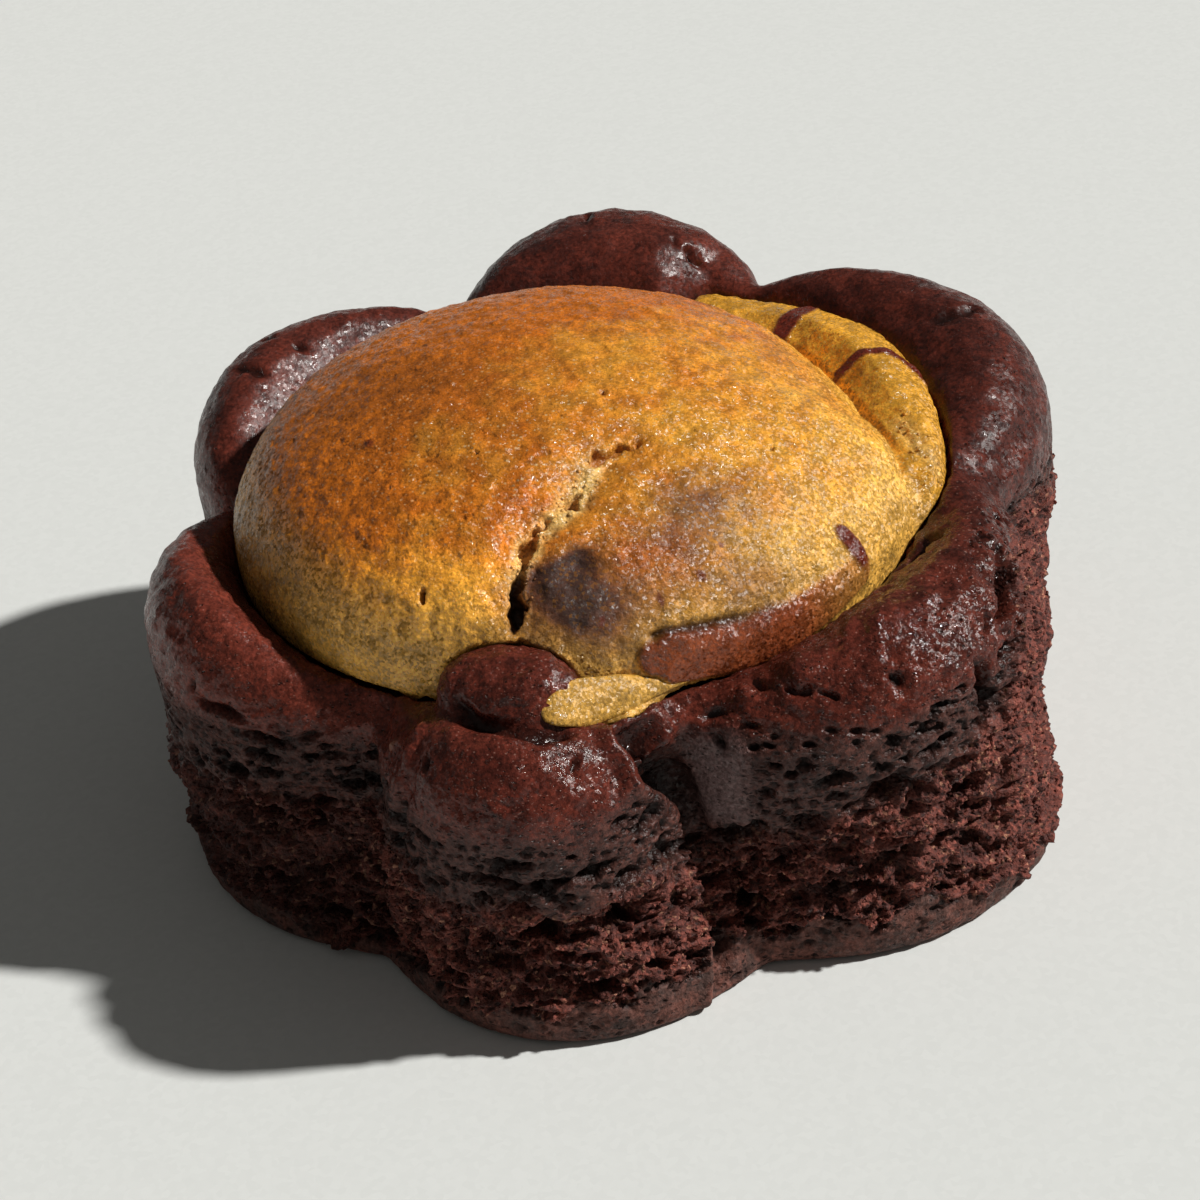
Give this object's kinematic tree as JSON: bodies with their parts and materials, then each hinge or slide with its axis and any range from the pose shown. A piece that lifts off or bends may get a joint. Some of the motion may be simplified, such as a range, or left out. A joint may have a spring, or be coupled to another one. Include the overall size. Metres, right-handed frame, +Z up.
{
  "type": "brookie",
  "caption": "Flower-shaped chocolate brownie with a domed golden cookie baked into its top.",
  "frame": {"origin": "on the table surface, under the middle of the bounding box", "axes": "+Z up out of the dome; the low front lobe is towards -Y and the wide back-right ledge of cookie towards +X and +Y"},
  "size_m": [0.0668, 0.0694, 0.0341],
  "materials": {
    "brownie": "dark baked chocolate crumb, satin skin over the rim, torn and porous lower down",
    "cookie": "golden baked crust, fine grain, low sheen"
  },
  "bodies": {
    "root": {"brownie": "brownie", "cookie": "cookie"}
  },
  "joints": []
}
